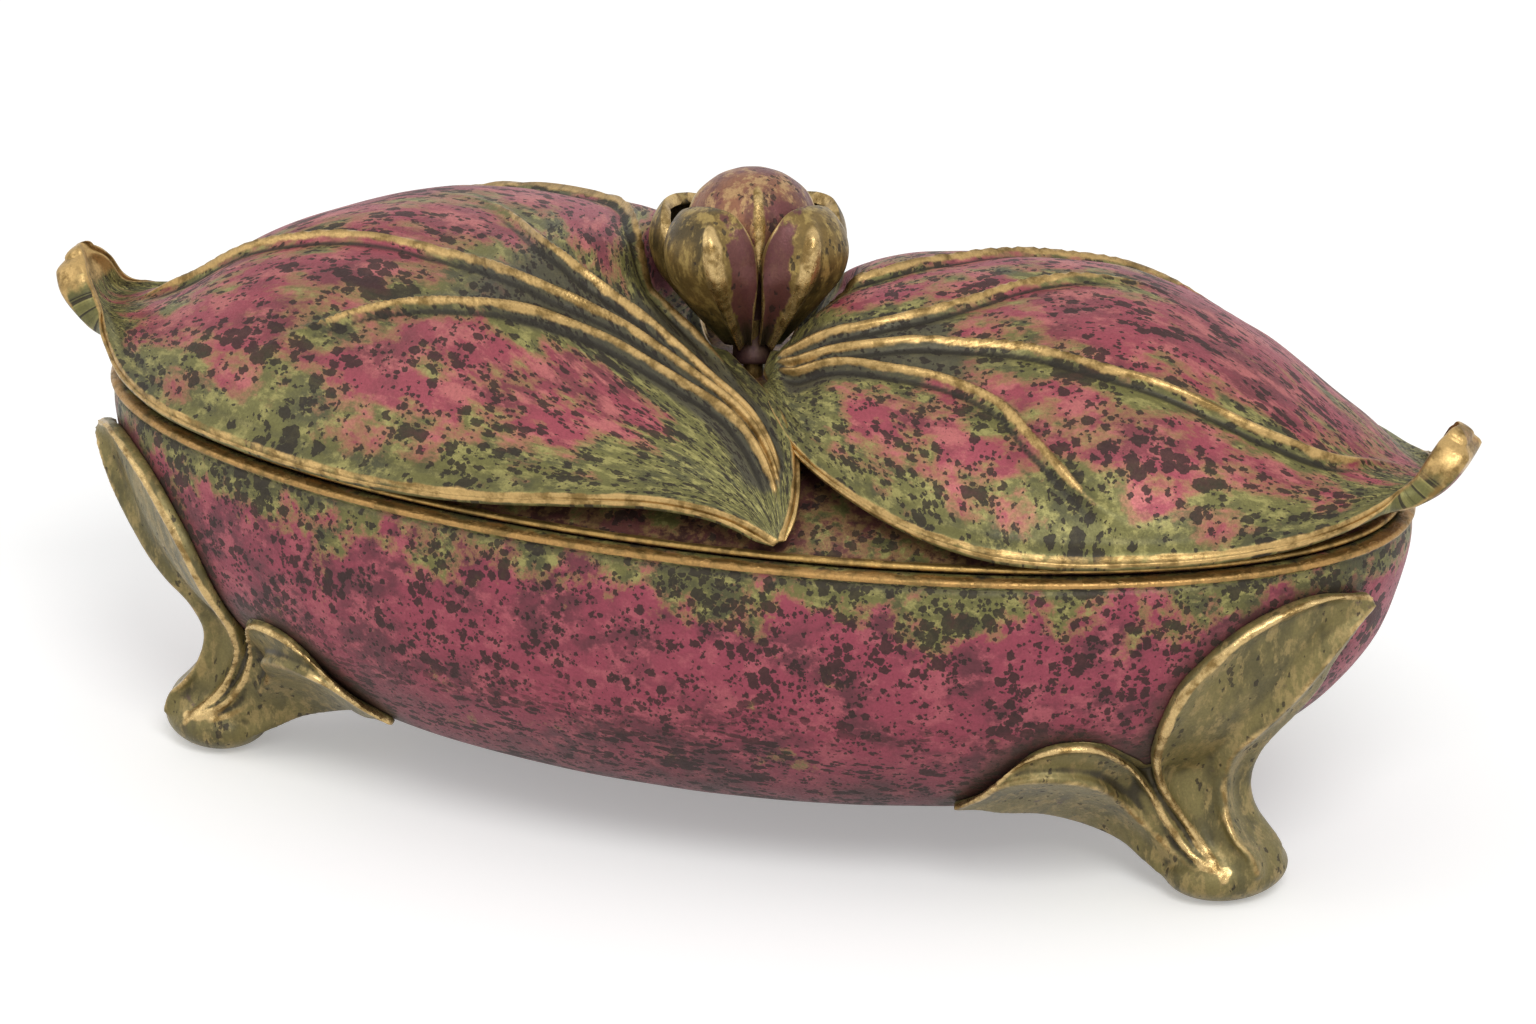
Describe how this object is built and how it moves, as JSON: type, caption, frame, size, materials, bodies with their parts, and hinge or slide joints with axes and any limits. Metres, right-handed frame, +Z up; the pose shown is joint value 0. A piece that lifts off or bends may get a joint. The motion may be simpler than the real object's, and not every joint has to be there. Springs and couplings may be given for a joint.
{
  "type": "jewelry casket",
  "caption": "Oval footed casket with a hinged lid covered by two large veined leaves, a bud as its grip and a velvet-lined well.",
  "frame": {"origin": "on the table, under the middle of the casket's box", "axes": "+X along the casket towards the right leaf's tip, +Y to the rear where the hinge is, +Z up"},
  "size_m": [0.2414, 0.1152, 0.1065],
  "materials": {
    "patinated_bronze": "satin raspberry and olive patina, mottled and pitted, rubbed to brass along edges and veins",
    "olive_bronze": "satin olive and brown patina, streaked, with polished brass ridges",
    "rubbed_brass": "satin, aged",
    "velvet": "short cotton velvet, deep wine red"
  },
  "bodies": {
    "base": {"bowl": "patinated_bronze", "foot_front_left": "olive_bronze", "foot_front_right": "olive_bronze", "foot_rear_left": "olive_bronze", "foot_rear_right": "olive_bronze", "foot_screw_front_left": "rubbed_brass", "foot_screw_front_right": "rubbed_brass", "foot_screw_rear_left": "rubbed_brass", "foot_screw_rear_right": "rubbed_brass", "wall_lining": "velvet", "floor_cushion": "velvet", "hinge_bracket": "rubbed_brass", "hinge_pin": "rubbed_brass", "bracket_screw_left": "rubbed_brass", "bracket_screw_right": "rubbed_brass"},
    "lid": {"lid_plate": "patinated_bronze", "right_leaf": "patinated_bronze", "left_leaf": "patinated_bronze", "bud": "olive_bronze", "sepal_front": "olive_bronze", "sepal_right": "olive_bronze", "sepal_rear": "olive_bronze", "sepal_left": "olive_bronze", "left_leaf_screw_inner": "rubbed_brass", "left_leaf_screw_outer": "rubbed_brass", "right_leaf_screw_inner": "rubbed_brass", "right_leaf_screw_outer": "rubbed_brass", "strap_screw_left": "rubbed_brass", "strap_screw_right": "rubbed_brass", "finial_stud": "rubbed_brass", "finial_nut": "rubbed_brass", "hinge_strap": "rubbed_brass", "lid_cushion": "velvet"}
  },
  "joints": [
    {"name": "lid_hinge", "type": "hinge", "parent": "base", "child": "lid", "pos_m": [0, 0.0551, 0.0613], "axis": [-1, 0, 0], "range_deg": [0, 100]}
  ]
}
